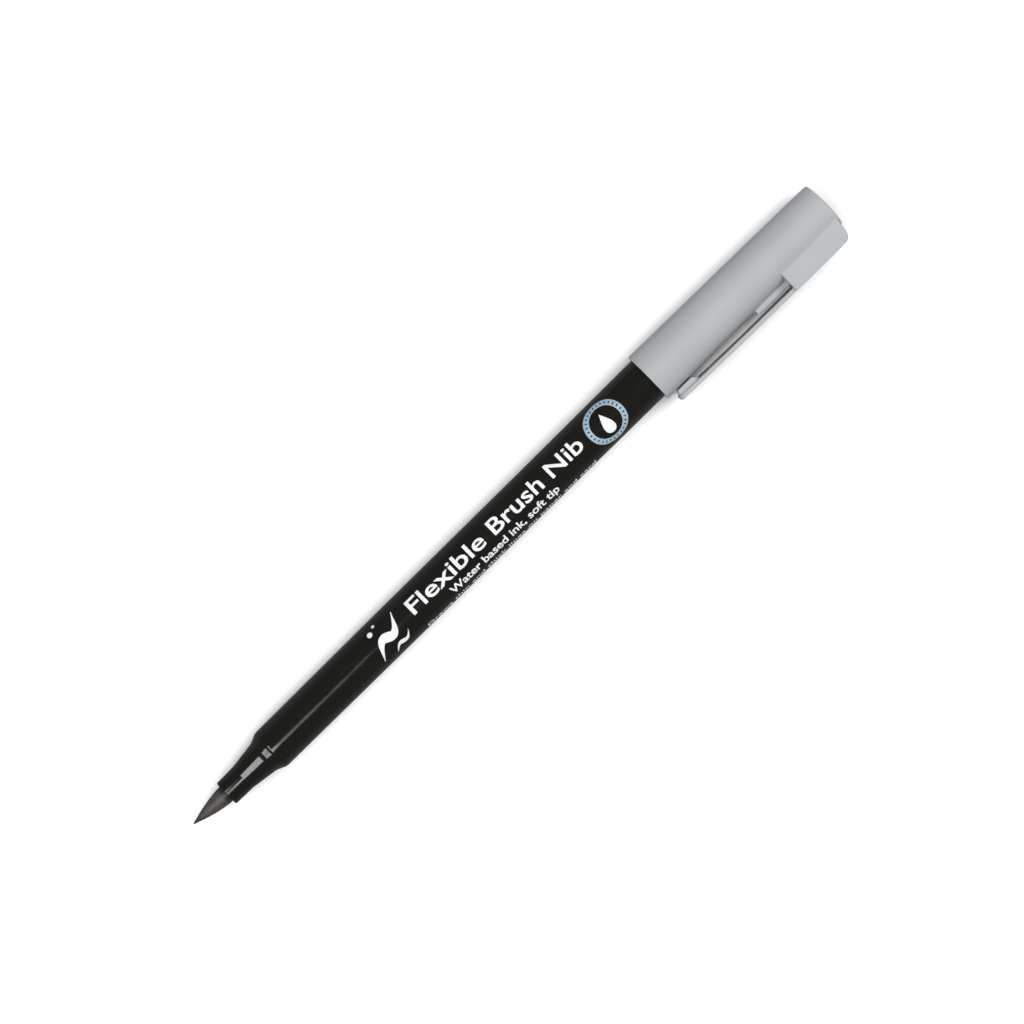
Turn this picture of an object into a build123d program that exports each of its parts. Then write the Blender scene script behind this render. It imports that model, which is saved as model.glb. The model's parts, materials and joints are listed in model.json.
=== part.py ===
"""A brush marker with its cap posted on the tail: one STEP file per piece, in millimetres.

The pen lies along X with its nib toward -X. +Z is up, and the cap's clip points toward -Y.
The origin is on the pen's axis, at the middle of the barrel's straight grip.
"""

from math import asin, cos, degrees, radians, sin, sqrt, tan
import os

from build123d import *

# Stations along the pen's axis, as x.
NIB_POINT = -75.0
NOSE_MOUTH = NIB_POINT + 9.1
NOSE_CONE = NIB_POINT + 13.7
SEAM = NIB_POINT + 19.1
CAP_MOUTH = 52.5
BARREL_TAIL = CAP_MOUTH + 12.5

# Nib: a tapered brush of bonded fibres on a straight shank.
BRUSH_R = 1.96
BRUSH_TAPER_LENGTH = 9.6
BRUSH_TAPER_POWER = 1.75
BRUSH_POINT_R = 0.05
BRUSH_POINT_LENGTH = 0.1
BRUSH_CURVE_STEPS = 6
SHANK_R = 1.7
SHANK_REAR = SEAM + 13.3
SHANK_CHAMFER = 0.8
JOINT_GAP = 0.05

# Nose section.
NOSE_R = 2.9
NOSE_HOLE_R = 2.1
NOSE_BORE_R = 2.35
NOSE_BORE_STEP = 0.4
NOSE_BORE_START = NOSE_CONE + NOSE_BORE_STEP
NOSE_EDGE = 0.15
SEAM_R = 3.62
PLUG_LENGTH = 6.3
PLUG_CHAMFER = 0.12
BARB_R = 3.1

# Collar that holds the nib's shank in the nose.
COLLAR_LENGTH = 6.9
AIR_GROOVES = 3
AIR_GROOVE_WIDTH = 0.6
AIR_GROOVE_DEPTH = 0.25

# Barrel tube: the shoulder's foot, slope and top, then a drafted tube with a straight grip.
SHOULDER_FOOT_ROUND = 3.2
SHOULDER_SLOPE = 24.5
SHOULDER_TOP_ROUND = 2.3
BARREL_FRONT_R = 4.61
BARREL_R = 4.73
BARREL_REAR_R = 4.85
GRIP_LENGTH = 40.0
TAIL_R = 4.72
BARREL_BORE_R = 3.75
NECK_R = 2.95
NECK_LENGTH = 5.0
BARREL_RIBS = 4
BARREL_RIB_WIDTH = 0.6
BARREL_RIB_TOP_R = 3.53
BARREL_RIB_ROOT = 0.2
TAIL_CHAMFER = 0.15

# Ink reservoir, its film and the tail plug.
RESERVOIR_R = 3.4
RESERVOIR_FRONT = SEAM + 7.8
RESERVOIR_REAR = BARREL_TAIL - 4.0
SOCKET_DEPTH = 6.0
WRAP_R = 3.5
PLUG_FLANGE_R = 4.2
PLUG_FLANGE_LENGTH = 1.0
PLUG_FLANGE_CHAMFER = 0.4
PLUG_WALL = 0.8
FIT_GAP = 0.02

# Cap shell.
CAP_LENGTH = 49.8
CAP_MOUTH_R = 5.72
CAP_END_R = 5.27
CAP_CROWN = 0.3
CAP_END_ROUND = 0.7
CAP_MOUTH_ROUND = 0.15
CAP_BORE_MOUTH_R = 4.93
CAP_BORE_DEEP_R = 4.66
CAP_BORE_DEPTH = 26.5
CAP_LEAD_IN = 0.2
LINER_BORE_R = 4.1
LINER_BORE_DEPTH = 48.35

# Inner cap.
LINER_MOUTH_DEPTH = 29.2
LINER_MOUTH_R = 3.25
LINER_END_R = 3.1
LINER_END_WALL = 0.8
LINER_LEAD_IN = 0.25

# Clip: root block and rib on the cap, and the springy arm.
BLOCK_START = CAP_MOUTH + 33.5
BLOCK_END = CAP_MOUTH + 48.9
BLOCK_OUT = 8.2
BLOCK_WIDTH = 8.2
BLOCK_END_SLANT = 0.5
BLOCK_CORNER = 1.7
BLOCK_EDGE = 0.25
CLIP_RIB_START = CAP_MOUTH + 24.6
CLIP_RIB_OUT = 6.45
CLIP_RIB_WIDTH = 2.4
ARM_WIDTH = 7.0
ARM_THICKNESS = 0.9
ARM_FREE_END = CAP_MOUTH + 1.6
ARM_FREE_OUT = 7.8
ARM_END_ROUND = 1.5
BUMP_LENGTH = 6.1
BUMP_CREST_START = 0.15 * BUMP_LENGTH
BUMP_CREST_END = 0.55 * BUMP_LENGTH
BUMP_GAP = 0.08
HEEL_X = BLOCK_START + 1.0
HEEL_OUT = BLOCK_OUT - ARM_THICKNESS / 2
HEEL_CLEARANCE = 0.05


def flat_face(*outline):
    """The face inside a closed outline of lines and arcs, drawn with x along the pen."""
    return make_face([edge for piece in outline for edge in piece.edges()])


def rounded(face, corner, radius):
    """The face with the corner nearest to a point rounded."""
    return fillet(face.vertices().sort_by_distance((*corner, 0))[0], radius)


def turned(*outline):
    """The solid that a closed outline of lines and arcs sweeps about the pen's axis."""
    return revolve(flat_face(*outline), Axis.X)


def turned_points(*points):
    """The solid that a closed polygon of (x, radius) points sweeps about the pen's axis."""
    return turned(Polyline(*points, close=True))


def arc(centre, radius, start, end):
    """The arc about a centre from one angle to another, in degrees."""
    angles = (radians(angle) for angle in (start, (start + end) / 2, end))
    return ThreePointArc(
        *((centre[0] + radius * cos(angle), centre[1] + radius * sin(angle)) for angle in angles)
    )


def turned_bar(start, end, radius):
    """A plain round bar on the pen's axis."""
    return turned_points((start, 0), (end, 0), (end, radius), (start, radius))


def brush_radius(x):
    """The brush's radius, which grows quickly behind the point and flattens toward the nose."""
    remaining = (NIB_POINT + BRUSH_TAPER_LENGTH - x) / BRUSH_TAPER_LENGTH
    return BRUSH_R * (1 - remaining**BRUSH_TAPER_POWER)


def shoulder():
    """The barrel's front outline, from the seam to the front of the tube, and where it ends."""
    foot, top, slope = SHOULDER_FOOT_ROUND, SHOULDER_TOP_ROUND, radians(SHOULDER_SLOPE)
    cone = asin((SEAM_R - NOSE_R) / sqrt((SEAM_R - NOSE_R) ** 2 + (SEAM - NOSE_CONE) ** 2))
    slope_start = (SEAM + foot * (sin(slope) - sin(cone)), SEAM_R + foot * (cos(cone) - cos(slope)))
    slope_end_r = BARREL_FRONT_R - top * (1 - cos(slope))
    slope_end = (slope_start[0] + (slope_end_r - slope_start[1]) / tan(slope), slope_end_r)
    end = (slope_end[0] + top * sin(slope), BARREL_FRONT_R)
    foot_centre = (SEAM - foot * sin(cone), SEAM_R + foot * cos(cone))
    top_centre = (end[0], BARREL_FRONT_R - top)
    outline = (
        arc(foot_centre, foot, degrees(cone) - 90, SHOULDER_SLOPE - 90),
        Line(slope_start, slope_end),
        arc(top_centre, top, 90 + SHOULDER_SLOPE, 90),
    )
    return outline, end


def barrel_tube():
    """Outer tube: a rounded shoulder, a drafted tube with a straight grip, and a tail for the cap."""
    front, tube_start = shoulder()
    neck_end = SEAM + NECK_LENGTH
    tube = turned(
        *front,
        Polyline(
            tube_start,
            (-GRIP_LENGTH / 2, BARREL_R),
            (GRIP_LENGTH / 2, BARREL_R),
            (CAP_MOUTH, BARREL_REAR_R),
            (BARREL_TAIL - TAIL_CHAMFER, TAIL_R),
            (BARREL_TAIL, TAIL_R - TAIL_CHAMFER),
            (BARREL_TAIL, BARREL_BORE_R),
            (neck_end, BARREL_BORE_R),
            (neck_end, NECK_R),
            (SEAM, NECK_R),
            (SEAM, SEAM_R),
        ),
    )
    rib_length = RESERVOIR_REAR - RESERVOIR_FRONT
    rib_middle = (RESERVOIR_REAR + RESERVOIR_FRONT) / 2
    rib_root_r = BARREL_BORE_R + BARREL_RIB_ROOT
    rib_height = rib_root_r - BARREL_RIB_TOP_R
    rib = Pos(rib_middle, 0, BARREL_RIB_TOP_R + rib_height / 2) * Box(
        rib_length, BARREL_RIB_WIDTH, rib_height
    )
    for number in range(BARREL_RIBS):
        tube += Rot(X=360 * number / BARREL_RIBS) * rib
    return tube


def nose_section():
    """Stepped nose: cylinder and cone outside, and a barbed plug that snaps into the barrel's neck."""
    plug_r = NECK_R - FIT_GAP
    plug_end = SEAM + PLUG_LENGTH
    barb_start = SEAM + NECK_LENGTH + JOINT_GAP
    return turned_points(
        (NOSE_MOUTH, NOSE_HOLE_R),
        (NOSE_MOUTH, NOSE_R - NOSE_EDGE),
        (NOSE_MOUTH + NOSE_EDGE, NOSE_R),
        (NOSE_CONE, NOSE_R),
        (SEAM, SEAM_R),
        (SEAM, plug_r),
        (barb_start, plug_r),
        (barb_start, BARB_R),
        (plug_end, plug_r - PLUG_CHAMFER),
        (plug_end, NOSE_BORE_R),
        (NOSE_BORE_START, NOSE_BORE_R),
        (NOSE_CONE, NOSE_HOLE_R),
    )


def nib_collar():
    """Sleeve round the nib's shank, with air grooves along its outside."""
    start = NOSE_BORE_START + JOINT_GAP
    end = start + COLLAR_LENGTH
    outer_r = NOSE_BORE_R - FIT_GAP
    collar = turned_bar(start, end, outer_r) - turned_bar(start, end, SHANK_R + FIT_GAP)
    groove = Pos((start + end) / 2, 0, outer_r) * Box(
        COLLAR_LENGTH, AIR_GROOVE_WIDTH, 2 * AIR_GROOVE_DEPTH
    )
    for number in range(AIR_GROOVES):
        collar -= Rot(X=360 * number / AIR_GROOVES) * groove
    return collar


def brush_tip():
    """Free brush: a tapered point with a ball-shaped root, centred in the nose's mouth."""
    root_r = brush_radius(NOSE_MOUTH)
    taper_start = NIB_POINT + BRUSH_POINT_LENGTH
    step = (NOSE_MOUTH - taper_start) / BRUSH_CURVE_STEPS
    stations = [taper_start + step * number for number in range(BRUSH_CURVE_STEPS + 1)]
    taper = [(x, brush_radius(x)) for x in stations]
    return turned(
        Polyline((NIB_POINT, 0), (NIB_POINT, BRUSH_POINT_R), taper[0]),
        Spline(*taper),
        arc((NOSE_MOUTH, 0), root_r, 90, 0),
        Line((NOSE_MOUTH + root_r, 0), (NIB_POINT, 0)),
    )


def nib_shank():
    """Straight shank behind the brush: a cup in front of it takes the brush's ball-shaped root."""
    cup_r = brush_radius(NOSE_MOUTH) + JOINT_GAP
    cup_point = (NOSE_MOUTH + cup_r, 0)
    cup_rim = (NOSE_MOUTH + sqrt(cup_r**2 - SHANK_R**2), SHANK_R)
    return turned(
        arc((NOSE_MOUTH, 0), cup_r, 0, degrees(asin(SHANK_R / cup_r))),
        Polyline(
            cup_rim,
            (SHANK_REAR - SHANK_CHAMFER, SHANK_R),
            (SHANK_REAR, SHANK_R - SHANK_CHAMFER),
            (SHANK_REAR, 0),
            cup_point,
        ),
    )


def ink_reservoir():
    """Fibre rod that holds the ink, with the hole that the nib's shank makes in its front."""
    rod = turned_bar(RESERVOIR_FRONT, RESERVOIR_REAR, RESERVOIR_R)
    return rod - turned_bar(RESERVOIR_FRONT, RESERVOIR_FRONT + SOCKET_DEPTH, SHANK_R + FIT_GAP)


def reservoir_wrap():
    """Plastic film round the fibre rod."""
    inner_r = RESERVOIR_R + FIT_GAP / 2
    return turned_points(
        (RESERVOIR_FRONT, inner_r),
        (RESERVOIR_REAR, inner_r),
        (RESERVOIR_REAR, WRAP_R),
        (RESERVOIR_FRONT, WRAP_R),
    )


def tail_plug():
    """Hollow plug with a flange, which closes the barrel's tail and backs the reservoir."""
    plug_r = BARREL_BORE_R - FIT_GAP
    front = RESERVOIR_REAR + FIT_GAP
    flange_end = BARREL_TAIL + PLUG_FLANGE_LENGTH
    hollow_r = plug_r - PLUG_WALL
    return turned_points(
        (BARREL_TAIL, 0),
        (flange_end, 0),
        (flange_end, PLUG_FLANGE_R - PLUG_FLANGE_CHAMFER),
        (flange_end - PLUG_FLANGE_CHAMFER, PLUG_FLANGE_R),
        (BARREL_TAIL, PLUG_FLANGE_R),
        (BARREL_TAIL, plug_r),
        (front, plug_r),
        (front, hollow_r),
        (BARREL_TAIL, hollow_r),
    )


def cap_body():
    """Cap without its bore or its clip: a drafted round shell with a low crown on its closed end."""
    end = CAP_MOUTH + CAP_LENGTH
    side_end = end - CAP_CROWN
    crown_corner = (side_end, CAP_END_R)
    mouth_corner = (CAP_MOUTH, CAP_MOUTH_R)
    crown_r = (CAP_END_R**2 + CAP_CROWN**2) / (2 * CAP_CROWN)
    half = flat_face(
        Polyline((CAP_MOUTH, 0), mouth_corner, crown_corner),
        arc((end - crown_r, 0), crown_r, degrees(asin(CAP_END_R / crown_r)), 0),
        Line((end, 0), (CAP_MOUTH, 0)),
    )
    half = rounded(half, crown_corner, CAP_END_ROUND)
    half = rounded(half, mouth_corner, CAP_MOUTH_ROUND)
    return revolve(half, Axis.X)


def clip_block():
    """Root block of the clip, with a large round on its outer rear corner."""
    outer_corner = (BLOCK_END - BLOCK_END_SLANT, -BLOCK_OUT)
    side = flat_face(
        Polyline(
            (BLOCK_START, 0),
            (BLOCK_START, -BLOCK_OUT),
            outer_corner,
            (BLOCK_END, -CAP_END_R),
            (BLOCK_END, 0),
            close=True,
        )
    )
    side = rounded(side, outer_corner, BLOCK_CORNER)
    block = extrude(side, BLOCK_WIDTH / 2, both=True)
    outer_edges = block.edges().filter_by(lambda edge: edge.center().Y < -CAP_END_R)
    return fillet(outer_edges, BLOCK_EDGE)


def clip_rib():
    """Short rib on the cap, under the root of the clip's arm."""
    length = BLOCK_START - CLIP_RIB_START + BLOCK_EDGE
    middle = CLIP_RIB_START + length / 2
    return Pos(middle, -CLIP_RIB_OUT / 2, 0) * Box(length, CLIP_RIB_OUT, CLIP_RIB_WIDTH)


def heel_pocket():
    """Pocket in the block's front outer corner, a little larger than the arm's heel."""
    radius = ARM_THICKNESS / 2 + HEEL_CLEARANCE
    width = ARM_WIDTH + 2 * HEEL_CLEARANCE
    heel = Pos(HEEL_X, -HEEL_OUT, 0) * Cylinder(radius, width)
    depth = radius + BLOCK_EDGE
    length = 2 * (HEEL_X - BLOCK_START)
    slot = Pos(HEEL_X - length / 2, -HEEL_OUT + radius - depth, 0) * Box(length, 2 * depth, width)
    return heel + slot


def cap_shell():
    """Cap moulding: body, clip block and rib, less the bore and the pocket for the arm's heel."""
    shell = cap_body() + clip_block() + clip_rib()
    bore_end = CAP_MOUTH + CAP_BORE_DEPTH
    liner_end = CAP_MOUTH + LINER_BORE_DEPTH
    step = CAP_BORE_DEEP_R - LINER_BORE_R
    shell -= turned_points(
        (CAP_MOUTH, 0),
        (CAP_MOUTH, CAP_BORE_MOUTH_R + CAP_LEAD_IN),
        (CAP_MOUTH + CAP_LEAD_IN, CAP_BORE_MOUTH_R),
        (bore_end, CAP_BORE_DEEP_R),
        (bore_end + step, LINER_BORE_R),
        (liner_end, LINER_BORE_R),
        (liner_end, 0),
    )
    return shell - heel_pocket()


def inner_cap():
    """Seal liner pressed into the cap's closed end: a cup whose mouth closes on the nose's cone."""
    mouth = CAP_MOUTH + LINER_MOUTH_DEPTH
    outer_r = LINER_BORE_R - FIT_GAP
    end = CAP_MOUTH + LINER_BORE_DEPTH - FIT_GAP
    well_end = end - LINER_END_WALL
    return turned_points(
        (mouth, LINER_MOUTH_R + LINER_LEAD_IN),
        (mouth + LINER_LEAD_IN, LINER_MOUTH_R),
        (well_end, LINER_END_R),
        (well_end, 0),
        (end, 0),
        (end, outer_r),
        (mouth, outer_r),
    )


def clip_arm():
    """Springy arm of the clip: a round heel, a long thin blade and a bump that grips at its free end."""
    blade_root_out = (HEEL_X, -BLOCK_OUT)
    heel_back = (HEEL_X + ARM_THICKNESS / 2, -HEEL_OUT)
    blade_root_in = (HEEL_X, -BLOCK_OUT + ARM_THICKNESS)
    bump_out = -(CAP_MOUTH_R + BUMP_GAP)
    bump_root = (ARM_FREE_END + BUMP_LENGTH, -ARM_FREE_OUT + ARM_THICKNESS)
    bump_rear = (ARM_FREE_END + BUMP_CREST_END, bump_out)
    bump_front = (ARM_FREE_END + BUMP_CREST_START, bump_out)
    free_in = (ARM_FREE_END, -ARM_FREE_OUT + ARM_THICKNESS)
    free_out = (ARM_FREE_END, -ARM_FREE_OUT)
    side = flat_face(
        ThreePointArc(blade_root_out, heel_back, blade_root_in),
        Polyline(
            blade_root_in, bump_root, bump_rear, bump_front, free_in, free_out, blade_root_out
        ),
    )
    side = rounded(side, bump_root, 2 * ARM_THICKNESS)
    side = rounded(side, bump_rear, ARM_THICKNESS)
    side = rounded(side, bump_front, ARM_THICKNESS / 2)
    side = rounded(side, free_out, ARM_THICKNESS / 4)
    arm = extrude(side, ARM_WIDTH / 2, both=True)
    length = HEEL_X - ARM_FREE_END + ARM_THICKNESS
    plan = Pos(ARM_FREE_END + length / 2, 0, 0) * Box(length, 4 * BLOCK_OUT, ARM_WIDTH)
    end_corners = plan.edges().filter_by(Axis.Y).group_by(Axis.X)[0]
    return arm & fillet(end_corners, ARM_END_ROUND)


PIECES = {
    "barrel_tube": barrel_tube,
    "nose_section": nose_section,
    "nib_collar": nib_collar,
    "nib_shank": nib_shank,
    "brush_tip": brush_tip,
    "ink_reservoir": ink_reservoir,
    "reservoir_wrap": reservoir_wrap,
    "tail_plug": tail_plug,
    "cap_shell": cap_shell,
    "inner_cap": inner_cap,
    "clip_arm": clip_arm,
}

os.makedirs("parts", exist_ok=True)
for name, make in PIECES.items():
    export_step(make(), f"parts/{name}.step")
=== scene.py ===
import json
import math

import bmesh
import bpy
from mathutils import Matrix, Vector


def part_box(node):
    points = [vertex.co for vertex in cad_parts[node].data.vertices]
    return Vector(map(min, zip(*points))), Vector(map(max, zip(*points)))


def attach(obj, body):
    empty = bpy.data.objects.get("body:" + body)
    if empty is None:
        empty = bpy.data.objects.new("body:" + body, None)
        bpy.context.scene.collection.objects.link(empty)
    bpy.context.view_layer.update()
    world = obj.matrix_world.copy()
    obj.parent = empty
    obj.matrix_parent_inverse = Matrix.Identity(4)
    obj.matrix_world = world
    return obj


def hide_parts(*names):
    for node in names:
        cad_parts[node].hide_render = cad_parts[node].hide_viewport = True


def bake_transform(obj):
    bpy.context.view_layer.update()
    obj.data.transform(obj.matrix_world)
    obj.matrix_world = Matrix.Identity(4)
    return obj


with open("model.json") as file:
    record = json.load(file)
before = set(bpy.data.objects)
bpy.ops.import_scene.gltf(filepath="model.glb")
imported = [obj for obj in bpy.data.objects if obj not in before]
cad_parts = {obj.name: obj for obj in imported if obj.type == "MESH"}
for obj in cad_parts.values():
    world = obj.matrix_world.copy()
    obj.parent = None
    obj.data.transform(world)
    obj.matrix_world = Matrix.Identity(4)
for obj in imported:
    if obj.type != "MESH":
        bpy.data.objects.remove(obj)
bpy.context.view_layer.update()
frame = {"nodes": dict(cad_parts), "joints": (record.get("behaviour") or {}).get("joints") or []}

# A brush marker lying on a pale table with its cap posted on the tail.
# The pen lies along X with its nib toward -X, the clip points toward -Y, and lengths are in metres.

MM = 0.001

# Places along the pen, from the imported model.
NIB_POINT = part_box("brush_tip")[0][0]
NOSE_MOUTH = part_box("nose_section")[0][0]
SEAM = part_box("barrel_tube")[0][0]
BARREL_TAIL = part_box("barrel_tube")[1][0]
BARREL_REAR_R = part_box("barrel_tube")[1][2]
CAP_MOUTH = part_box("cap_shell")[0][0]
CAP_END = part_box("cap_shell")[1][0]
CLIP_FREE_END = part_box("clip_arm")[0][0]
CLIP_OUT = -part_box("clip_arm")[0][1]
SHANK_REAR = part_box("nib_shank")[1][0]
HINGES = {joint["name"]: joint for joint in frame["joints"]}
CLIP_HINGE = Vector(HINGES["clip_flex"]["pos_m"])

# Barrel and nose.
BARREL_FRONT_R = 4.61 * MM
BARREL_R = 4.73 * MM
BARREL_GRIP = 40.0 * MM
BARREL_TAIL_R = 4.72 * MM
BARREL_BORE_R = 3.75 * MM
BARREL_NECK_R = 2.95 * MM
BARREL_NECK_LENGTH = 5.0 * MM
TAIL_CHAMFER = 0.15 * MM
SHOULDER_FOOT_ROUND = 3.2 * MM
SHOULDER_SLOPE = 24.5
SHOULDER_TOP_ROUND = 2.3 * MM
SEAM_R = 3.62 * MM
SEAM_CHAMFER = 0.05 * MM
NOSE_R = 2.9 * MM
NOSE_DRAFT = 0.06 * MM
NOSE_HOLE_R = 2.1 * MM
NOSE_BORE_R = 2.35 * MM
NOSE_BORE_STEP = 0.4 * MM
NOSE_CONE = NOSE_MOUTH + 4.6 * MM
NOSE_PLUG_LENGTH = 6.3 * MM
NOSE_EDGE = 0.28 * MM
NOSE_BREAK = 0.1 * MM
CONE_ANGLE = math.atan((SEAM_R - NOSE_R) / (SEAM - NOSE_CONE))
FIT_GAP = 0.02 * MM

# Nib.
BRUSH_R = 1.96 * MM
BRUSH_TAPER_LENGTH = 9.6 * MM
BRUSH_TAPER_POWER = 1.75
SHANK_R = 1.7 * MM
SHANK_STEP = 0.4 * MM
SHANK_END_R = 0.55 * SHANK_R
SHANK_END_TAPER = 0.8 * MM
BRUSH_RUN_IN = 0.9 * MM
NIB_LEAN = 0.28 * MM
NIB_LEAN_POWER = 1.3
NIB_RIDGE = 0.02 * MM
NIB_RIDGE_START = 1.2 * MM
NIB_RIDGE_STOP = 0.3 * MM

# Cap.
CAP_MOUTH_R = 5.72 * MM
CAP_END_R = 5.27 * MM
CAP_CROWN = 0.3 * MM
CAP_END_ROUND = 0.5 * MM
CAP_MOUTH_ROUND = 0.15 * MM
CAP_BORE_MOUTH_R = 4.93 * MM
CAP_BORE_DEEP_R = 4.66 * MM
CAP_BORE_DEPTH = 26.5 * MM
CAP_LEAD_IN = 0.2 * MM
CAP_LINER_BORE_R = 4.1 * MM
CAP_LINER_DEPTH = 48.35 * MM

# Clip.
BLOCK_START = CAP_MOUTH + 33.3 * MM
BLOCK_END = CAP_MOUTH + 48.9 * MM
BLOCK_HALF_WIDTH = 4.1 * MM
BLOCK_CORNER = 1.6 * MM
BLOCK_EDGE = 0.25 * MM
BLOCK_STRAIGHT_END = BLOCK_END - 1.9 * MM
BLOCK_FACE_KNEE = 0.9 * MM
BLOCK_FACE_DRAFT = 0.12 * MM
BLOCK_FACE_SINK = 0.1 * MM
ROOT_FILLET = 0.35 * MM
RIB_START = CAP_MOUTH + 24.6 * MM
RIB_OUT = 6.45 * MM
RIB_HALF_WIDTH = 1.2 * MM
RIB_EDGE = 0.12 * MM
LEAST_EDGE = 0.01 * MM
ARM_HALF_WIDTH = 3.5 * MM
ARM_THICKNESS = 0.9 * MM
ARM_FREE_OUT = 7.8 * MM
ARM_END_ROUND = 1.5 * MM
ARM_TIP_ROUND = 0.4 * MM
ARM_EDGE = 0.18 * MM
ARM_ROOT_DEPTH = 0.6 * MM
ARM_INSET = 0.01 * MM
BUMP_SETBACK = 0.15 * MM
BUMP_LENGTH = 6.1 * MM
BUMP_HALF_WIDTH = 2.5 * MM
BUMP_GAP = 0.08 * MM
BUMP_EDGE = 0.1 * MM
BUMP_FRONT_SHARE = 0.12
BUMP_REAR_SHARE = 0.3
BUMP_NARROWING = 0.25

# Print on the barrel. Each word of the first line has its start and end along the pen.
PRINT_THICKNESS = 0.012 * MM
PRINT_CUT = 0.22 * MM
FLOURISH_START = -24.8 * MM
STROKE_END_SHARE = 0.08
STROKE_SWELL = 1.3
EMBLEM_CENTRE = 40.2 * MM
EMBLEM_OUTER_R = 4.67 * MM
EMBLEM_INNER_R = 3.42 * MM
TICK_COUNT = 28
TICK_START = 3.8 * MM
TICK_END = 4.3 * MM
TICK_HALF_WIDTH = 0.13 * MM
DROP_HALF_LENGTH = 2.4 * MM
DROP_BREADTH = 1.8 * MM
DROP_SHARPNESS = 1.6
DROP_SHIFT = 0.2 * MM
DROP_POINTS = 40
FIRST_LINE_SIZE = 4.75 * MM
FIRST_LINE_AROUND = -0.66 * MM
FIRST_LINE_WEIGHT = 0.06 * MM
FIRST_LINE_WORDS = (
    ("Flexible", -14.4 * MM, 6.0 * MM),
    ("Brush", 8.3 * MM, 22.2 * MM),
    ("Nib", 24.4 * MM, 33.4 * MM),
)

# Camera, light and table.
CAMERA_LENS = 270
CAMERA_DISTANCE = 1.536
CAMERA_TILT = 4.0
CAMERA_TURN = 44.576
CAMERA_AIM = Vector((0.0143, 0.00003, 0))
PANEL_DISTANCE = 2.1
TABLE_HALF_WIDTH = 2.0
TABLE_GLOW = 0.55
SHADE_DISTANCE = 12 * MM

# Meshes: sides of a round surface, and how close two points lie that are one.
ROUND_SEGMENTS = 192
MERGE_DISTANCE = 0.0001 * MM


# Mesh helpers and the pen's pieces.

def finished(name, mesh, sharp_angle=32.0):
    """An object from a bmesh, smooth shaded, with its sharp edges marked."""
    bmesh.ops.remove_doubles(mesh, verts=mesh.verts, dist=MERGE_DISTANCE)
    bmesh.ops.recalc_face_normals(mesh, faces=mesh.faces)
    for face in mesh.faces:
        face.smooth = True
    for edge in mesh.edges:
        edge.smooth = edge.calc_face_angle(0.0) < math.radians(sharp_angle)
    data = bpy.data.meshes.new(name)
    mesh.to_mesh(data)
    mesh.free()
    piece = bpy.data.objects.new(name, data)
    bpy.context.scene.collection.objects.link(piece)
    return piece


def skin(name, rings, joined=False):
    """A closed surface through rings of points, joined end to end or closed by one-point rings."""
    mesh = bmesh.new()
    rows = [[mesh.verts.new(point) for point in ring] for ring in rings]
    following = rows[1:] + rows[:1] if joined else rows[1:]
    for row, after in zip(rows, following):
        for here in range(len(row)):
            there = (here + 1) % len(row)
            mesh.faces.new((row[here], row[there], after[there], after[here]))
    return finished(name, mesh)


def circle(x, radius):
    """A ring of points about the pen's axis."""
    turns = [math.tau * step / ROUND_SEGMENTS for step in range(ROUND_SEGMENTS)]
    return [(x, radius * math.cos(turn), radius * math.sin(turn)) for turn in turns]


def capped(name, sections):
    """A skin through sections whose two ends are closed."""
    ends = []
    for section in (sections[0], sections[-1]):
        middle = Vector([sum(values) / len(section) for values in zip(*section)])
        ends.append([middle] * len(section))
    return skin(name, [ends[0], *sections, ends[1]])


def turned(name, outline):
    """The surface that a closed outline of (x, radius) points sweeps about the pen's axis."""
    return skin(name, [circle(x, radius) for x, radius in outline], joined=True)


def arc(x, radius, size, start, end, steps=6):
    """Outline points on an arc about (x, radius), from one angle to another in degrees."""
    angles = [math.radians(start + (end - start) * step / steps) for step in range(steps + 1)]
    return [(x + size * math.cos(angle), radius + size * math.sin(angle)) for angle in angles]


def even(start, end, steps):
    """Evenly spaced values, both ends included."""
    return [start + (end - start) * step / steps for step in range(steps + 1)]


def smooth_step(value):
    """0 below 0, 1 above 1, and a smooth rise between."""
    value = min(max(value, 0.0), 1.0)
    return value * value * (3 - 2 * value)


def barrel_radius(x):
    """The tube's radius: straight along the grip, drafted a little in front of it and behind it."""
    tube_start = shoulder()[-1][0]
    grip_end = BARREL_GRIP / 2
    if abs(x) <= grip_end:
        return BARREL_R
    if x < 0:
        return BARREL_R + (BARREL_FRONT_R - BARREL_R) * (x + grip_end) / (tube_start + grip_end)
    return BARREL_R + (BARREL_REAR_R - BARREL_R) * (x - grip_end) / (CAP_MOUTH - grip_end)


def shoulder():
    """The barrel's front outline: a hollow foot that goes on from the cone, a slope, a round."""
    foot, top, slope = SHOULDER_FOOT_ROUND, SHOULDER_TOP_ROUND, math.radians(SHOULDER_SLOPE)
    foot_x, foot_r = SEAM - foot * math.sin(CONE_ANGLE), SEAM_R + foot * math.cos(CONE_ANGLE)
    outline = arc(foot_x, foot_r, foot, math.degrees(CONE_ANGLE) - 90, SHOULDER_SLOPE - 90, 8)
    slope_start_x, slope_start_r = outline[-1]
    slope_end_r = BARREL_FRONT_R - top * (1 - math.cos(slope))
    slope_end_x = slope_start_x + (slope_end_r - slope_start_r) / math.tan(slope)
    top_x = slope_end_x + top * math.sin(slope)
    return outline + arc(top_x, BARREL_FRONT_R - top, top, 90 + SHOULDER_SLOPE, 90, 8)


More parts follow.
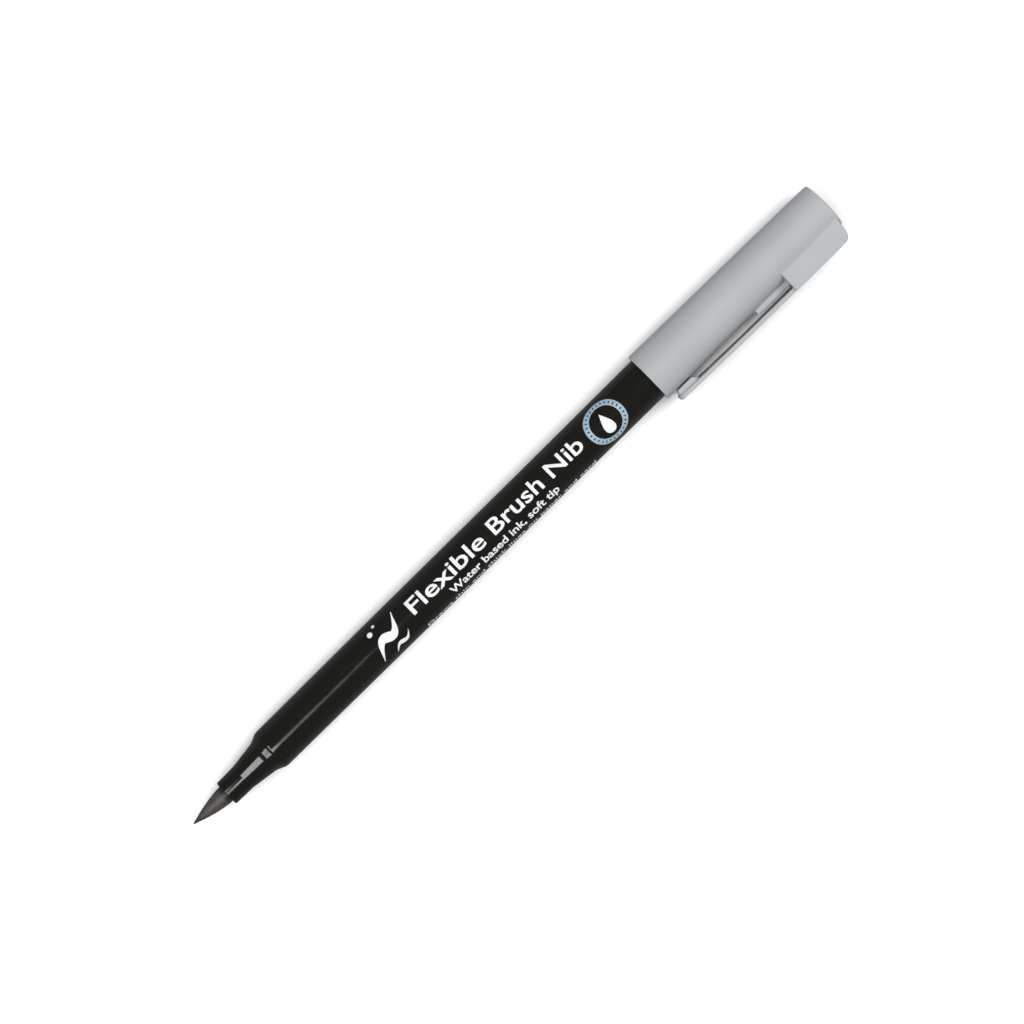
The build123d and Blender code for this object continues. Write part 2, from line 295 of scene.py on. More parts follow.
def make_barrel():
    """Barrel tube: shoulder, long tube, drafted tail and its bore."""
    front = shoulder()
    outline = [(SEAM, SEAM_R - SEAM_CHAMFER), (SEAM + SEAM_CHAMFER, SEAM_R)] + front[1:]
    outline += [(x, barrel_radius(x)) for x in even(front[-1][0], CAP_MOUTH, 52)[1:]]
    outline += [(BARREL_TAIL - TAIL_CHAMFER, BARREL_TAIL_R)]
    outline += [(BARREL_TAIL, BARREL_TAIL_R - TAIL_CHAMFER)]
    outline += [(BARREL_TAIL, BARREL_BORE_R)]
    outline += [(SEAM + BARREL_NECK_LENGTH, BARREL_BORE_R)]
    outline += [(SEAM + BARREL_NECK_LENGTH, BARREL_NECK_R)]
    outline += [(SEAM, BARREL_NECK_R)]
    return turned("barrel_body", outline)


def make_nose():
    """Nose section: a short front tube, a cone that meets the barrel, and the plug inside it."""
    plug_end = SEAM + NOSE_PLUG_LENGTH
    plug_r = BARREL_NECK_R - FIT_GAP
    rim_r = NOSE_R - NOSE_DRAFT
    outline = [(NOSE_MOUTH, NOSE_HOLE_R + SEAM_CHAMFER)]
    outline += arc(NOSE_MOUTH + NOSE_EDGE, rim_r - NOSE_EDGE, NOSE_EDGE, 180, 90)
    outline += [(NOSE_CONE - NOSE_BREAK, NOSE_R)]
    outline += [
        (x, NOSE_R + (x - NOSE_CONE) * math.tan(CONE_ANGLE))
        for x in even(NOSE_CONE + NOSE_BREAK, SEAM - SEAM_CHAMFER, 12)
    ]
    outline += [(SEAM, SEAM_R - SEAM_CHAMFER), (SEAM, plug_r), (plug_end, plug_r)]
    outline += [(plug_end, NOSE_BORE_R), (NOSE_CONE + NOSE_BORE_STEP, NOSE_BORE_R)]
    outline += [(NOSE_CONE, NOSE_HOLE_R), (NOSE_MOUTH + SEAM_CHAMFER, NOSE_HOLE_R)]
    return turned("nose_body", outline)


def brush_radius(x):
    """The brush's radius, which grows quickly behind the point and flattens toward the nose."""
    remaining = max(0.0, (NIB_POINT + BRUSH_TAPER_LENGTH - x) / BRUSH_TAPER_LENGTH)
    return BRUSH_R * (1 - remaining**BRUSH_TAPER_POWER)


def fibre_ridges(turn):
    """How far the bundled fibres stand out round the brush, from -1 to 1."""
    waves = ((23, 0.4), (37, 1.3), (61, 2.1))
    return sum(math.sin(count * turn + shift) for count, shift in waves) / len(waves)


def nib_ring(x, radius, ridge):
    """One ring of the nib, leaning a little toward +Y in front of the nose."""
    ahead = max(0.0, (NOSE_MOUTH - x) / (NOSE_MOUTH - NIB_POINT))
    lean = NIB_LEAN * ahead**NIB_LEAN_POWER
    turns = [math.tau * step / ROUND_SEGMENTS for step in range(ROUND_SEGMENTS)]
    reach = [radius + ridge * fibre_ridges(turn) for turn in turns]
    return [
        (x, lean + out * math.cos(turn), out * math.sin(turn)) for turn, out in zip(turns, reach)
    ]


def make_nib():
    """The whole nib: a tapered fibre brush that goes on as a straight shank inside the pen."""
    brush_end = NOSE_MOUTH + BRUSH_RUN_IN
    rings = [nib_ring(NIB_POINT, 0.0, 0.0)]
    for behind_point in (0.03 * MM, 0.1 * MM, 0.25 * MM, 0.5 * MM, 0.8 * MM):
        x = NIB_POINT + behind_point
        rings.append(nib_ring(x, brush_radius(x) + NIB_RIDGE, NIB_RIDGE / 2))
    for x in even(NIB_POINT + NIB_RIDGE_START, NOSE_MOUTH - NIB_RIDGE_STOP, 36):
        rings.append(nib_ring(x, brush_radius(x), NIB_RIDGE))
    for x in even(NOSE_MOUTH, brush_end, 4):
        rings.append(nib_ring(x, brush_radius(NOSE_MOUTH), 0.0))
    rings.append(nib_ring(brush_end + SHANK_STEP, SHANK_R, 0.0))
    rings.append(nib_ring(SHANK_REAR - SHANK_END_TAPER, SHANK_R, 0.0))
    rings.append(nib_ring(SHANK_REAR, SHANK_END_R, 0.0))
    rings.append(nib_ring(SHANK_REAR, 0.0, 0.0))
    return skin("brush_nib", rings)


def cap_radius(x):
    """The cap's outer radius, which tapers evenly from its mouth to its closed end."""
    along = (x - CAP_MOUTH) / (CAP_END - CAP_CROWN - CAP_MOUTH)
    return CAP_MOUTH_R + (CAP_END_R - CAP_MOUTH_R) * along


def bar_reach(angle, half_width, out, edge):
    """Distance from the axis to a rounded bar's outline. The angle is taken from -Y."""
    forward, sideways = math.cos(angle), abs(math.sin(angle))
    if forward <= 0 or half_width <= 0:
        return 0.0
    if out * sideways <= (half_width - edge) * forward:
        return out / forward
    if half_width * forward <= (out - edge) * sideways:
        return half_width / sideways
    centre_out, centre_side = out - edge, half_width - edge
    along = forward * centre_out + sideways * centre_side
    return along + math.sqrt(max(0.0, along**2 - centre_out**2 - centre_side**2 + edge**2))


def joined_reach(first, second, fillet):
    """The larger of two reaches, with a fillet where they are nearly equal."""
    overlap = max(0.0, 1 - abs(first - second) / fillet)
    return max(first, second) + overlap**2 * fillet / 4


def cap_angles():
    """Angles round the cap from -Y, in degrees, close together where the rib and the block turn."""
    spans = (
        (0, 8, 1),
        (8, 15, 0.25),
        (15, 23, 1),
        (23, 30, 0.25),
        (30, 44, 1),
        (44, 56, 0.25),
        (56, 180, 2),
    )
    side = []
    for start, end, step in spans:
        side += [start + step * number for number in range(round((end - start) / step))]
    whole_turn = side + [180] + [-angle for angle in reversed(side[1:])]
    return [math.radians(angle) for angle in whole_turn]


CAP_ANGLES = cap_angles()


def cap_ring(x, radius, half_width=0.0, out=0.0, edge=0.0):
    """One ring of the cap's surface: a circle, joined to a bar's outline where there is one."""
    ring = []
    for angle in CAP_ANGLES:
        bar = bar_reach(angle, half_width, out, edge)
        reach = joined_reach(radius, bar, ROOT_FILLET) if bar else radius
        ring.append((x, -reach * math.cos(angle), reach * math.sin(angle)))
    return ring


def bar_rings(start, end, half_width, out, edge, steps):
    """Rings along a bar on the cap, from its flat front face on."""
    rings = [cap_ring(start, cap_radius(start), half_width - edge, out - edge, LEAST_EDGE)]
    for turn in even(0, math.pi / 2, 5):
        inset = edge * (1 - math.sin(turn))
        x = start + edge * (1 - math.cos(turn))
        rounding = max(edge - inset, LEAST_EDGE)
        rings.append(cap_ring(x, cap_radius(x), half_width - inset, out - inset, rounding))
    for x in even(start + edge, end, steps)[1:]:
        rings.append(cap_ring(x, cap_radius(x), half_width, out, edge))
    return rings


def block_end_rings():
    """Rings over the block's large outer corner and down its end face."""
    path = arc(BLOCK_STRAIGHT_END, CLIP_OUT - BLOCK_CORNER, BLOCK_CORNER, 90, 8, 10)[1:]
    path += [(BLOCK_END - BLOCK_FACE_DRAFT, CAP_END_R + BLOCK_FACE_KNEE), (BLOCK_END, CAP_END_R)]
    path += [(BLOCK_END + BLOCK_FACE_SINK, CAP_END_R - ROOT_FILLET)]
    rings = []
    for x, out in path:
        past = max(0.0, 1 - (BLOCK_END - x) / BLOCK_EDGE)
        half_width = BLOCK_HALF_WIDTH - BLOCK_EDGE * past**2
        rings.append(cap_ring(x, cap_radius(x), half_width, out, BLOCK_EDGE))
    return rings


def make_cap():
    """Cap shell in one skin: crown, drafted side with the clip's rib and block, mouth and bore."""
    side_end = CAP_END - CAP_CROWN
    rings = [cap_ring(CAP_MOUTH + CAP_LEAD_IN, CAP_BORE_MOUTH_R)]
    rings += [cap_ring(CAP_MOUTH, CAP_BORE_MOUTH_R + CAP_LEAD_IN)]
    mouth_round = arc(
        CAP_MOUTH + CAP_MOUTH_ROUND, CAP_MOUTH_R - CAP_MOUTH_ROUND, CAP_MOUTH_ROUND, 180, 92, 5
    )
    rings += [cap_ring(x, radius) for x, radius in mouth_round]
    side_start = CAP_MOUTH + 2 * CAP_MOUTH_ROUND
    rings += [cap_ring(x, cap_radius(x)) for x in even(side_start, RIB_START, 24)]
    rings += bar_rings(RIB_START, BLOCK_START, RIB_HALF_WIDTH, RIB_OUT, RIB_EDGE, 10)
    rings += bar_rings(
        BLOCK_START, BLOCK_STRAIGHT_END, BLOCK_HALF_WIDTH, CLIP_OUT, BLOCK_EDGE, 16
    )
    rings += block_end_rings()
    end_round = arc(side_end - CAP_END_ROUND, CAP_END_R - CAP_END_ROUND, CAP_END_ROUND, 88, 12, 7)
    rings += [cap_ring(x, radius) for x, radius in end_round]
    for radius in even(CAP_END_R - CAP_END_ROUND, 0.0, 12)[1:]:
        rings.append(cap_ring(CAP_END - CAP_CROWN * (radius / CAP_END_R) ** 2, radius))
    inner_end = CAP_MOUTH + CAP_LINER_DEPTH
    step_x = CAP_MOUTH + CAP_BORE_DEPTH
    bore = [(inner_end, 0.0), (inner_end, CAP_LINER_BORE_R)]
    bore += [(step_x + CAP_BORE_DEEP_R - CAP_LINER_BORE_R, CAP_LINER_BORE_R)]
    bore += [(step_x, CAP_BORE_DEEP_R)]
    return skin("cap_body", [cap_ring(x, radius) for x, radius in bore] + rings)


def arm_outer(x):
    """The outer face of the clip's arm, which bows a little toward its free end."""
    along = (CLIP_HINGE.x - x) / (CLIP_HINGE.x - CLIP_FREE_END)
    return CLIP_OUT + (ARM_FREE_OUT - CLIP_OUT) * along**2


def bar_section(x, inner, outer, half_width, edge):
    """A rounded rectangle across the clip, as a ring of points."""
    ring = []
    for out, side, start in ((outer, 1, 0), (inner, 1, 90), (inner, -1, 180), (outer, -1, 270)):
        centre_out = out - edge if out == outer else out + edge
        centre_side = side * (half_width - edge)
        for angle in even(start, start + 90, 5):
            turn = math.radians(angle)
            reach = centre_out + edge * math.cos(turn)
            ring.append((x, -reach, centre_side + edge * math.sin(turn)))
    return ring


def make_arm():
    """Springy arm of the clip, rooted inside the block, with a rounded free end."""
    root = CLIP_HINGE.x + ARM_ROOT_DEPTH
    sections = []
    for share in even(0, 1, 12):
        past = ARM_END_ROUND * share**2
        x = CLIP_FREE_END + past
        half_width = ARM_HALF_WIDTH - ARM_END_ROUND + math.sqrt(
            ARM_END_ROUND**2 - (ARM_END_ROUND - past) ** 2
        )
        tip_past = min(past / ARM_TIP_ROUND, 1.0)
        rounding = ARM_TIP_ROUND * (1 - math.sqrt(1 - (1 - tip_past) ** 2))
        outer = arm_outer(x) - rounding
        inner = arm_outer(x) - ARM_THICKNESS + rounding / 2
        edge = min(ARM_EDGE, (outer - inner) / 2.1)
        sections.append(bar_section(x, inner, outer, half_width, edge))
    for x in even(CLIP_FREE_END + ARM_END_ROUND, root, 60)[1:]:
        outer = arm_outer(x) - ARM_INSET
        sections.append(bar_section(x, outer - ARM_THICKNESS, outer, ARM_HALF_WIDTH, ARM_EDGE))
    return capped("clip_blade", sections)


def make_bump():
    """Rounded pad under the arm's free end, which presses on the cap."""
    crest = CAP_MOUTH_R + BUMP_GAP
    sections = []
    for along in even(0, 1, 24):
        x = CLIP_FREE_END + BUMP_SETBACK + BUMP_LENGTH * along
        rise = smooth_step(along / BUMP_FRONT_SHARE) * smooth_step((1 - along) / BUMP_REAR_SHARE)
        arm_inner = arm_outer(x) - ARM_THICKNESS
        root = arm_inner + ARM_THICKNESS / 4
        inner = root + (crest - root) * rise
        outer = arm_inner + ARM_THICKNESS / 2
        half_width = BUMP_HALF_WIDTH * (1 - BUMP_NARROWING * (1 - rise))
        sections.append(bar_section(x, inner, outer, half_width, BUMP_EDGE))
    return capped("clip_bump", sections)


# Materials.

def new_material(name):
    """A new material and its main shader."""
    material = bpy.data.materials.new(name)
    material.use_nodes = True
    return material, material.node_tree.nodes["Principled BSDF"]


def link(material, source, target):
    """Joins an output to an input in the material's tree."""
    material.node_tree.links.new(source, target)


def noise(material, scale, detail=3.0, stretch=(1.0, 1.0, 1.0), roughness=0.5):
    """Noise in the pen's own space. The scale is in features per metre."""
    nodes = material.node_tree.nodes
    place = nodes.new("ShaderNodeTexCoord")
    mapping = nodes.new("ShaderNodeMapping")
    mapping.inputs["Scale"].default_value = stretch
    texture = nodes.new("ShaderNodeTexNoise")
    texture.inputs["Scale"].default_value = scale
    texture.inputs["Detail"].default_value = detail
    texture.inputs["Roughness"].default_value = roughness
    link(material, place.outputs["Object"], mapping.inputs["Vector"])
    link(material, mapping.outputs["Vector"], texture.inputs["Vector"])
    return texture.outputs["Fac"]


def ranged(material, value, low, high, source=(0.3, 0.7)):
    """The value moved from its own range into another."""
    node = material.node_tree.nodes.new("ShaderNodeMapRange")
    node.inputs["From Min"].default_value = source[0]
    node.inputs["From Max"].default_value = source[1]
    node.inputs["To Min"].default_value = low
    node.inputs["To Max"].default_value = high
    link(material, value, node.inputs["Value"])
    return node.outputs["Result"]


def mixed(material, share, first, second):
    """A colour between two others."""
    node = material.node_tree.nodes.new("ShaderNodeMix")
    node.data_type = "RGBA"
    for socket, colour in ((node.inputs["A"], first), (node.inputs["B"], second)):
        if hasattr(colour, "is_linked"):
            link(material, colour, socket)
        else:
            socket.default_value = (*colour, 1.0)
    link(material, share, node.inputs["Factor"])
    return node.outputs["Result"]


def bumped(material, shader, height, strength, distance):
    """Gives the shader a bumped surface."""
    node = material.node_tree.nodes.new("ShaderNodeBump")
    node.inputs["Strength"].default_value = strength
    node.inputs["Distance"].default_value = distance
    link(material, height, node.inputs["Height"])
    link(material, node.outputs["Normal"], shader.inputs["Normal"])


def gloss_black():
    """Injection-moulded black plastic: glossy, with a faint ripple and fine handling marks."""
    material, shader = new_material("barrel_gloss_black")
    smudges = noise(material, 260, 4)
    dark, light = (0.0048, 0.0044, 0.0028), (0.0064, 0.0058, 0.0038)
    shade = mixed(material, ranged(material, smudges, 0, 1), dark, light)
    link(material, shade, shader.inputs["Base Color"])
    scuffs = noise(material, 900, 5, (0.25, 1.0, 1.0), 0.6)
    link(material, ranged(material, scuffs, 0.08, 0.14), shader.inputs["Roughness"])
    shader.inputs["IOR"].default_value = 1.49
    bumped(material, shader, noise(material, 700, 2), 0.25, 0.004 * MM)
    return material


def satin_grey():
    """Pale cool grey moulded plastic with a fine spark-eroded texture."""
    material, shader = new_material("cap_satin_grey")
    cloud = noise(material, 120, 2)
    dark, light = (0.388, 0.404, 0.420), (0.406, 0.421, 0.436)
    shade = mixed(material, ranged(material, cloud, 0, 1), dark, light)
    link(material, shade, shader.inputs["Base Color"])
    grain = noise(material, 5200, 3)
    link(material, ranged(material, grain, 0.40, 0.55), shader.inputs["Roughness"])
    shader.inputs["IOR"].default_value = 1.49
    bumped(material, shader, grain, 0.35, 0.006 * MM)
    return material


def brush_fibres():
    """Ink-stained bonded fibres, darker where the point is wet and from just in front of the nose
    back.
    """
    material, shader = new_material("nib_fibres")
    nodes = material.node_tree.nodes
    strands = noise(material, 900, 6, (0.09, 4.0, 4.0), 0.65)
    dark, light = (0.034, 0.029, 0.027), (0.088, 0.077, 0.072)
    shade = mixed(material, ranged(material, strands, 0, 1), dark, light)
    place = nodes.new("ShaderNodeTexCoord")
    split = nodes.new("ShaderNodeSeparateXYZ")
    link(material, place.outputs["Object"], split.inputs["Vector"])
    wet = ranged(material, split.outputs["X"], 1, 0, (NIB_POINT, NIB_POINT + 3.2 * MM))
    shade = mixed(material, wet, shade, (0.012, 0.011, 0.010))
    # The fibres turn darker from about a millimetre in front of the nose mouth back.
    nose_band_edge = (NOSE_MOUTH - 1.1 * MM, NOSE_MOUTH - 0.7 * MM)
    nose_band = ranged(material, split.outputs["X"], 0, 1, nose_band_edge)
    shade = mixed(material, nose_band, shade, (0.026, 0.022, 0.021))
    link(material, shade, shader.inputs["Base Color"])
    link(material, ranged(material, strands, 0.36, 0.55), shader.inputs["Roughness"])
    bumped(material, shader, strands, 0.6, 0.02 * MM)
    return material


def print_ink(name, thin, thick):
    """Print: an opaque ink film with a slightly uneven coat."""
    material, shader = new_material(name)
    coat = noise(material, 2600, 4)
    shade = mixed(material, ranged(material, coat, 0, 1), thin, thick)
    link(material, shade, shader.inputs["Base Color"])
    link(material, ranged(material, coat, 0.4, 0.6), shader.inputs["Roughness"])
    return material


def plain_plastic(name, dark, light, roughness):
    """Moulded plastic of the hidden fittings."""
    material, shader = new_material(name)
    grain = noise(material, 1800, 3)
    shade = mixed(material, ranged(material, grain, 0, 1), dark, light)
    link(material, shade, shader.inputs["Base Color"])
    sheen = ranged(material, grain, roughness - 0.06, roughness + 0.06)
    link(material, sheen, shader.inputs["Roughness"])
    bumped(material, shader, grain, 0.2, 0.004 * MM)
    return material


def fibre_core():
    """White bundled fibre of the ink store, with lengthwise strands."""
    material, shader = new_material("reservoir_fibre")
    strands = noise(material, 1500, 5, (0.05, 2.0, 2.0), 0.6)
    shade = mixed(material, ranged(material, strands, 0, 1), (0.60, 0.60, 0.58), (0.85, 0.85, 0.83))
    link(material, shade, shader.inputs["Base Color"])
    link(material, ranged(material, strands, 0.75, 0.95), shader.inputs["Roughness"])
    bumped(material, shader, strands, 0.6, 0.03 * MM)
    return material


def table_top():
    """Plain white surface with a camera-only glow, duller in reflections, with painted shade by the
    pen.
    """
    material, shader = new_material("table_white")
    nodes = material.node_tree.nodes
    ray = nodes.new("ShaderNodeLightPath")
    speckle = noise(material, 300, 3)
    occlusion = nodes.new("ShaderNodeAmbientOcclusion")
    occlusion.samples = 6
    occlusion.inputs["Distance"].default_value = SHADE_DISTANCE
    painted_shade_mask = occlusion.outputs["AO"]
    white = mixed(material, ranged(material, speckle, 0, 1), (0.61, 0.61, 0.61), (0.63, 0.63, 0.63))
    # Painted shade: the table darkens to brown-grey where the ambient occlusion is low, beside the
    # pen and in the gap under the clip.
    white = mixed(material, ranged(material, painted_shade_mask, 0, 1, (0.2, 0.5)), (0.24, 0.22, 0.20), white)
    shade = mixed(material, ray.outputs["Is Glossy Ray"], white, (0.22, 0.22, 0.22))
    link(material, shade, shader.inputs["Base Color"])
    shader.inputs["Roughness"].default_value = 0.9
    shader.inputs["Specular IOR Level"].default_value = 0.1
    shader.inputs["Emission Color"].default_value = (1.0, 0.995, 0.99, 1.0)
    # Painted shade: the camera-only glow fades where the ambient occlusion is low.
    glow = nodes.new("ShaderNodeMath")
    glow.operation = "MULTIPLY"
    link(material, ranged(material, painted_shade_mask, 0, TABLE_GLOW, (0.4, 0.65)), glow.inputs[0])
    link(material, ray.outputs["Is Camera Ray"], glow.inputs[1])
    link(material, glow.outputs["Value"], shader.inputs["Emission Strength"])
    return material


def paint(piece, material):
    """Gives a piece one material all over."""
    piece.data.materials.clear()
    piece.data.materials.append(material)


# Print on the barrel.

def wrapped(name, flat, x, around, stretch=1.0):
    """A flat print turned into a thin skin on the barrel. Its first axis runs along the pen."""
    data = bpy.data.meshes.new_from_object(flat)
    bpy.data.objects.remove(flat)
    mesh = bmesh.new()
    mesh.from_mesh(data)
    bpy.data.meshes.remove(data)
    heights = [vert.co.y for vert in mesh.verts]
    low, high = min(heights), max(heights)
    for number in range(1, math.ceil((high - low) / PRINT_CUT)):
        everything = list(mesh.verts) + list(mesh.edges) + list(mesh.faces)
        level = (0, low + number * PRINT_CUT, 0)
        bmesh.ops.bisect_plane(mesh, geom=everything, plane_co=level, plane_no=(0, 1, 0))
    for vert in mesh.verts:
        along = x + vert.co.x * stretch
        turn = (vert.co.y + around) / BARREL_R
        out = barrel_radius(along) + vert.co.z
        vert.co = (along, out * math.sin(turn), out * math.cos(turn))
    return finished(name, mesh, 60.0)


def flat_text(words, size, weight):
    """Lettering in the built-in face, in the XY plane."""
    curve = bpy.data.curves.new("lettering", "FONT")
    curve.body = words
    curve.size = size
    curve.offset = weight
    curve.align_x = "LEFT"
    curve.extrude = PRINT_THICKNESS
    curve.resolution_u = 6
    lettering = bpy.data.objects.new("lettering", curve)
    bpy.context.scene.collection.objects.link(lettering)
    bpy.context.view_layer.update()
    return lettering


def flat_shape(loops):
    """Filled outlines in the XY plane. A loop inside another is a hole."""
    curve = bpy.data.curves.new("shape", "CURVE")
    curve.dimensions = "2D"
    curve.fill_mode = "BOTH"
    curve.extrude = PRINT_THICKNESS
    for loop in loops:
        spline = curve.splines.new("POLY")
        spline.points.add(len(loop) - 1)
        for point, (across, up) in zip(spline.points, loop):
            point.co = (across, up, 0, 1)
        spline.use_cyclic_u = True
    shape = bpy.data.objects.new("shape", curve)
    bpy.context.scene.collection.objects.link(shape)
    bpy.context.view_layer.update()
    return shape


def ring_loop(radius, across=0.0, up=0.0, segments=96):
    """The outline of a disc, centred across and up from the shape's origin."""
    turns = [math.tau * step / segments for step in range(segments)]
    return [(across + radius * math.cos(turn), up + radius * math.sin(turn)) for turn in turns]


def stroke_loop(path, widths):
    """The outline of a brush stroke: a path of points, each with its own width."""
    left, right = [], []
    for number, ((across, up), width) in enumerate(zip(path, widths)):
        before = path[max(number - 1, 0)]
        after = path[min(number + 1, len(path) - 1)]
        along = Vector((after[0] - before[0], after[1] - before[1])).normalized()
        left.append((across - along.y * width / 2, up + along.x * width / 2))
        right.append((across + along.y * width / 2, up - along.x * width / 2))
    return left + right[::-1]


def swelling_stroke(start, across, up, swing, width):
    """An S-shaped brush stroke that starts and ends thin and swells in the middle."""
    path, widths = [], []
    for along in even(0, 1, 28):
        sway = swing * math.sin(math.tau * along)
        path.append((start[0] + across * along, start[1] + up * along + sway))
        widths.append(width * (STROKE_END_SHARE + math.sin(math.pi * along) ** STROKE_SWELL))
    return stroke_loop(path, widths)


def make_flourish():
    """A generic brush flourish: two S-shaped strokes and two dots."""
    large = swelling_stroke(
        start=(0.2 * MM, -3.6 * MM), across=7.6 * MM, up=7.0 * MM, swing=1.7 * MM, width=1.9 * MM
    )
    small = swelling_stroke(
        start=(3.4 * MM, -4.3 * MM), across=4.6 * MM, up=2.6 * MM, swing=0.7 * MM, width=0.9 * MM
    )
    large_dot = ring_loop(0.6 * MM, across=1.6 * MM, up=2.9 * MM, segments=32)
    small_dot = ring_loop(0.35 * MM, across=3.2 * MM, up=3.9 * MM, segments=32)
    shape = flat_shape([large, small, large_dot, small_dot])
    return wrapped("print_flourish", shape, FLOURISH_START, 0)


def tick_loop(turn, inner, outer, half_width):
    """A short radial tick in a ring."""
    out = Vector((math.cos(turn), math.sin(turn)))
    side = Vector((-out.y, out.x)) * half_width
    return [out * inner - side, out * outer - side, out * outer + side, out * inner + side]


def make_emblem():
    """A generic round mark: a printed band with clear ticks in it."""
    rings = [ring_loop(EMBLEM_OUTER_R), ring_loop(EMBLEM_INNER_R)]
    ticks = [
        tick_loop(math.tau * number / TICK_COUNT, TICK_START, TICK_END, TICK_HALF_WIDTH)
        for number in range(TICK_COUNT)
    ]
    return wrapped("print_emblem", flat_shape([*rings, *ticks]), EMBLEM_CENTRE, 0)


def make_drop():
    """A drop in the middle of the round mark."""
    outline = []
    for number in range(DROP_POINTS):
        turn = math.tau * number / DROP_POINTS
        side = DROP_BREADTH * math.sin(turn) * math.sin(turn / 2) ** DROP_SHARPNESS
        outline.append((side, DROP_HALF_LENGTH * math.cos(turn) - DROP_SHIFT))
    return wrapped("print_drop", flat_shape([outline]), EMBLEM_CENTRE, 0)


def on_barrel(piece, material):
    """A print that moves with the barrel."""
    paint(piece, material)
    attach(piece, "barrel")


def printed_words(name, words, size, start, end, around, weight):
    """Generic words along the barrel from start to end, shifted around it from its top."""
    lettering = flat_text(words, size, weight)
    stretch = (end - start) / lettering.dimensions.x
    on_barrel(wrapped(name, lettering, start, around, stretch), WHITE_INK)


# The scene's own light, table and camera.

def add_panel(name, tilt, size, radiance):
    """A soft light panel in a direction from the pen, tilted in degrees from straight up."""
    light = bpy.data.lights.new(name, "AREA")
    light.shape = "RECTANGLE"
    light.size, light.size_y = size
    light.energy = radiance * size[0] * size[1] * math.pi
    panel = bpy.data.objects.new(name, light)
    bpy.context.scene.collection.objects.link(panel)
    slope_x, slope_y = (math.tan(math.radians(angle)) for angle in tilt)
    toward = Vector((slope_x, slope_y, 1)).normalized()
    across = Vector((1, 0, 0)) - toward * toward.x
    across.normalize()
    facing = Matrix((across, toward.cross(across), toward)).transposed().to_quaternion()
    panel.matrix_world = Matrix.LocRotScale(toward * PANEL_DISTANCE, facing, None)


def add_table():
    """The pale surface under the pen. The pen rests on its shoulder and on the cap's mouth."""
    mesh = bmesh.new()
    rise = -(CAP_MOUTH_R - BARREL_FRONT_R) / (CAP_MOUTH - shoulder()[-1][0])
    for side_x, side_y in ((-1, -1), (1, -1), (1, 1), (-1, 1)):
        x, y = side_x * TABLE_HALF_WIDTH, side_y * TABLE_HALF_WIDTH
        mesh.verts.new((x, y, -CAP_MOUTH_R + rise * (x - CAP_MOUTH)))
    mesh.faces.new(mesh.verts)
    data = bpy.data.meshes.new("table")
    mesh.to_mesh(data)
    mesh.free()
    table = bpy.data.objects.new("table", data)
    bpy.context.scene.collection.objects.link(table)
    paint(table, table_top())


def add_surroundings(seen, lit):
    """A pale room for the camera, and a dimmer one for the light that it sheds."""
    world = bpy.data.worlds.new("room")
    bpy.context.scene.world = world
    world.use_nodes = True
    nodes, links = world.node_tree.nodes, world.node_tree.links
    nodes.clear()
    shown = nodes.new("ShaderNodeBackground")
    shown.inputs["Color"].default_value = (1, 1, 1, 1)
    shown.inputs["Strength"].default_value = seen
    lighting = nodes.new("ShaderNodeBackground")
    lighting.inputs["Color"].default_value = (0.96, 0.98, 1.0, 1)
    lighting.inputs["Strength"].default_value = lit
    ray = nodes.new("ShaderNodeLightPath")
    mix = nodes.new("ShaderNodeMixShader")
    output = nodes.new("ShaderNodeOutputWorld")
    links.new(ray.outputs["Is Camera Ray"], mix.inputs["Fac"])
    links.new(lighting.outputs["Background"], mix.inputs[1])
    links.new(shown.outputs["Background"], mix.inputs[2])
    links.new(mix.outputs["Shader"], output.inputs["Surface"])


def add_camera():
    """The camera looks nearly straight down, with the pen running up to the right."""
    lens = bpy.data.cameras.new("camera")
    lens.lens = CAMERA_LENS
    lens.sensor_width = 36
    lens.clip_start = 0.01
    camera = bpy.data.objects.new("camera", lens)
    bpy.context.scene.collection.objects.link(camera)
    tilt = math.radians(CAMERA_TILT)
    turn = math.radians(CAMERA_TURN)
    back = Vector((0, math.sin(tilt), math.cos(tilt)))
    across = back.cross(Vector((1, 0, 0)))
    right = Vector((1, 0, 0)) * math.cos(turn) - across * math.sin(turn)
    up = Vector((1, 0, 0)) * math.sin(turn) + across * math.cos(turn)
    turned_to = Matrix((right, up, back)).transposed().to_quaternion()
    camera.matrix_world = Matrix.LocRotScale(CAMERA_AIM + back * CAMERA_DISTANCE, turned_to, None)
    bpy.context.scene.camera = camera


# The pen, its print and its surroundings.

WHITE_INK = print_ink("print_white_ink", (0.72, 0.735, 0.75), (0.86, 0.87, 0.88))
PALE_INK = print_ink("print_pale_ink", (0.27, 0.38, 0.46), (0.35, 0.47, 0.56))
BLACK = gloss_black()
GREY = satin_grey()
FIBRE = brush_fibres()

barrel = make_barrel()
paint(barrel, BLACK)
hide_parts("barrel_tube")
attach(barrel, "barrel")

nose = make_nose()
paint(nose, BLACK)
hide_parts("nose_section")
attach(nose, "barrel")

nib = make_nib()
paint(nib, FIBRE)
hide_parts("brush_tip", "nib_shank")
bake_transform(nib)

cap = make_cap()
paint(cap, GREY)
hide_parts("cap_shell")
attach(cap, "cap")

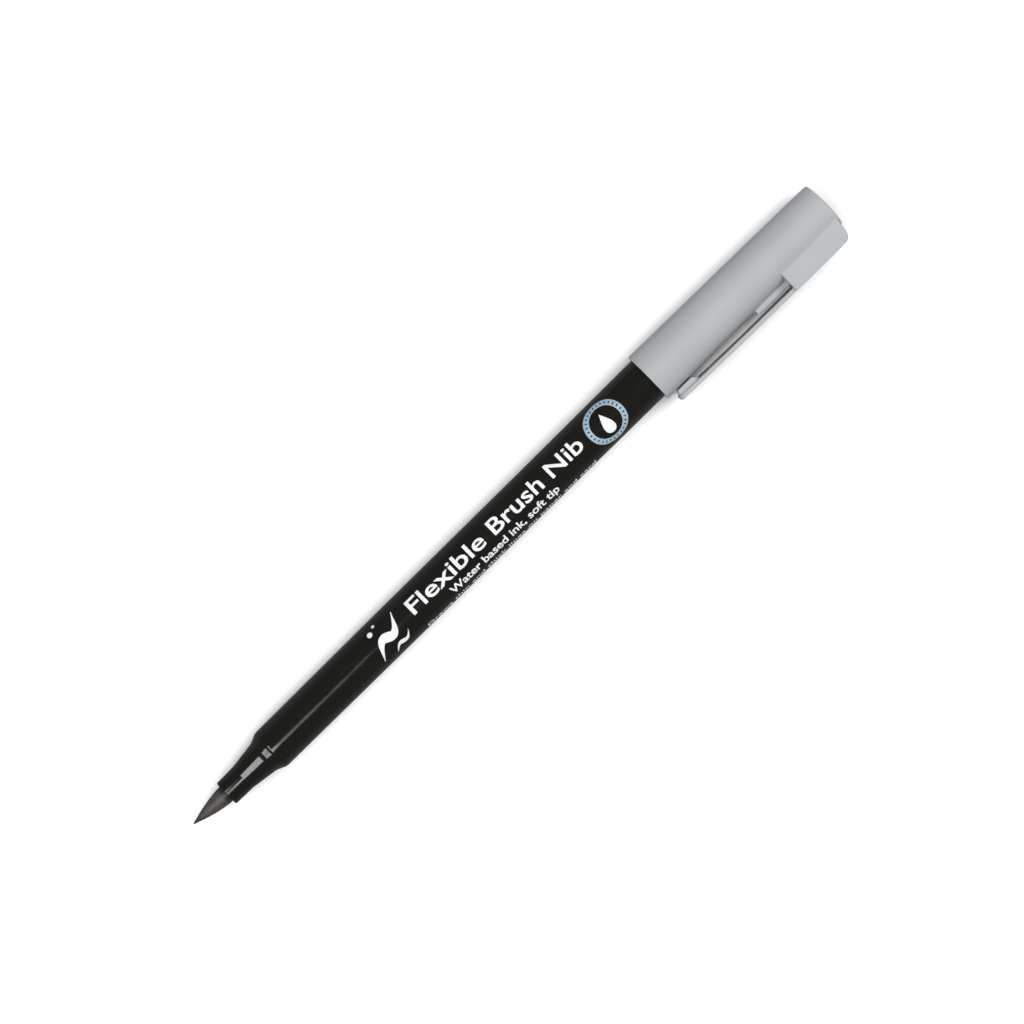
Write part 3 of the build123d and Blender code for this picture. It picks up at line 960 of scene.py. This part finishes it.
arm = make_arm()
paint(arm, GREY)
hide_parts("clip_arm")
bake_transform(arm)

bump = make_bump()
paint(bump, GREY)
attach(bump, "clip")

on_barrel(make_flourish(), WHITE_INK)
on_barrel(make_emblem(), PALE_INK)
on_barrel(make_drop(), WHITE_INK)
for word, start, end in FIRST_LINE_WORDS:
    name = f"print_{word.lower()}"
    printed_words(name, word, FIRST_LINE_SIZE, start, end, FIRST_LINE_AROUND, FIRST_LINE_WEIGHT)
printed_words(
    "print_second_line",
    "Water based ink, soft tip",
    size=2.6 * MM,
    start=-5.4 * MM,
    end=24.4 * MM,
    around=-3.65 * MM,
    weight=0.05 * MM,
)
printed_words(
    "print_third_line",
    "Draws thin and thick lines on paper and card",
    size=1.6 * MM,
    start=-13.6 * MM,
    end=33.2 * MM,
    around=-5.9 * MM,
    weight=0.0,
)

for node, material in (
    ("nib_collar", plain_plastic("collar_white", (0.74, 0.74, 0.72), (0.80, 0.80, 0.78), 0.4)),
    ("tail_plug", plain_plastic("plug_black", (0.010, 0.009, 0.007), (0.014, 0.013, 0.010), 0.35)),
    ("inner_cap", plain_plastic("liner_white", (0.76, 0.77, 0.77), (0.82, 0.83, 0.83), 0.35)),
    ("ink_reservoir", fibre_core()),
    ("reservoir_wrap", plain_plastic("wrap_film", (0.80, 0.82, 0.83), (0.85, 0.87, 0.88), 0.2)),
):
    paint(frame["nodes"][node], material)

add_table()
add_surroundings(seen=0.98, lit=0.2)

# The over and low panels show as bars on the cone and the shoulder, the two strips as a line along
# the front of the pen, and the tail panel as the broad light on the cap.
add_panel("panel_over", tilt=(-19.0, 7), size=(0.39, 1.55), radiance=8.7)
add_panel("panel_strip_near", tilt=(-4.6, -4), size=(0.045, 0.46), radiance=3.0)
add_panel("panel_strip_far", tilt=(-8.4, -4), size=(0.235, 0.5), radiance=9.5)
add_panel("panel_low", tilt=(-55, 7), size=(0.3, 1.35), radiance=8.7)
add_panel("panel_tail", tilt=(45, -10), size=(1.2, 1.84), radiance=5.0)
add_camera()
bpy.context.scene.view_settings.view_transform = "Standard"
